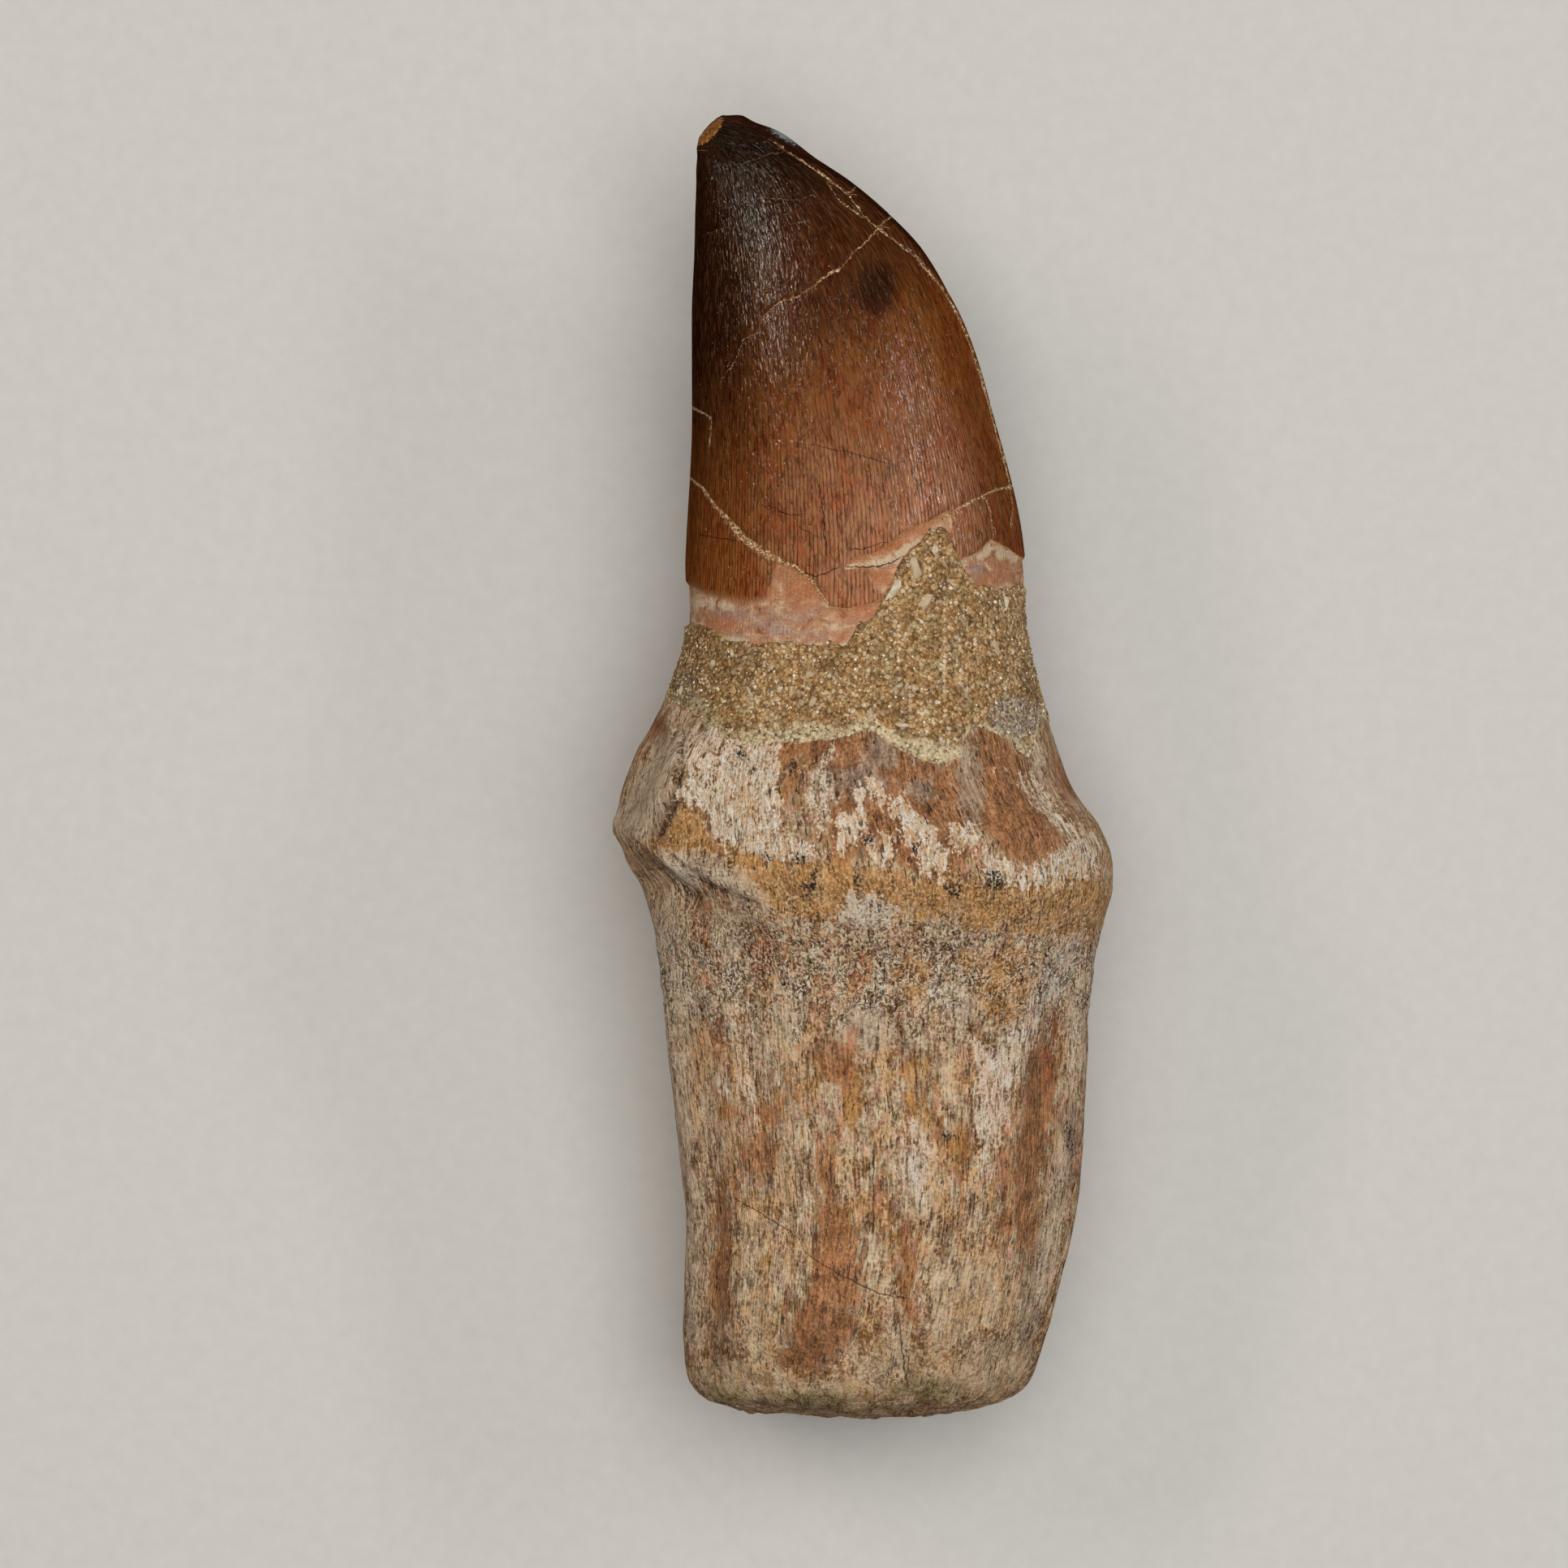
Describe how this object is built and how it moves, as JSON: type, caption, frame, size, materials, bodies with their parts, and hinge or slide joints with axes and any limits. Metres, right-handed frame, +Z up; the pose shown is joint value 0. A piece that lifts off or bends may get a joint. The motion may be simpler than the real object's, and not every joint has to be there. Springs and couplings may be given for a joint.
{
  "type": "fossil mosasaur tooth",
  "caption": "Fossil reptile tooth lying on its side: a curved glossy brown crown with a worn tip, a sandy matrix band round the neck, and a long swollen porous root.",
  "frame": {"origin": "on the surface that the tooth lies on, under the middle of its bounding box", "axes": "+Y along the tooth from the broken end of the root to the tip of the crown, +X towards the side of the convex front edge of the crown, +Z up"},
  "size_m": [0.0422, 0.11, 0.0355],
  "materials": {
    "tooth": "glossy dark brown enamel on the crown, matt porous cream and brown bone on the root",
    "matrix_collar": "matt golden sandstone with pale chips"
  },
  "bodies": {
    "root": {"tooth": "tooth", "matrix_collar": "matrix_collar"}
  },
  "joints": []
}
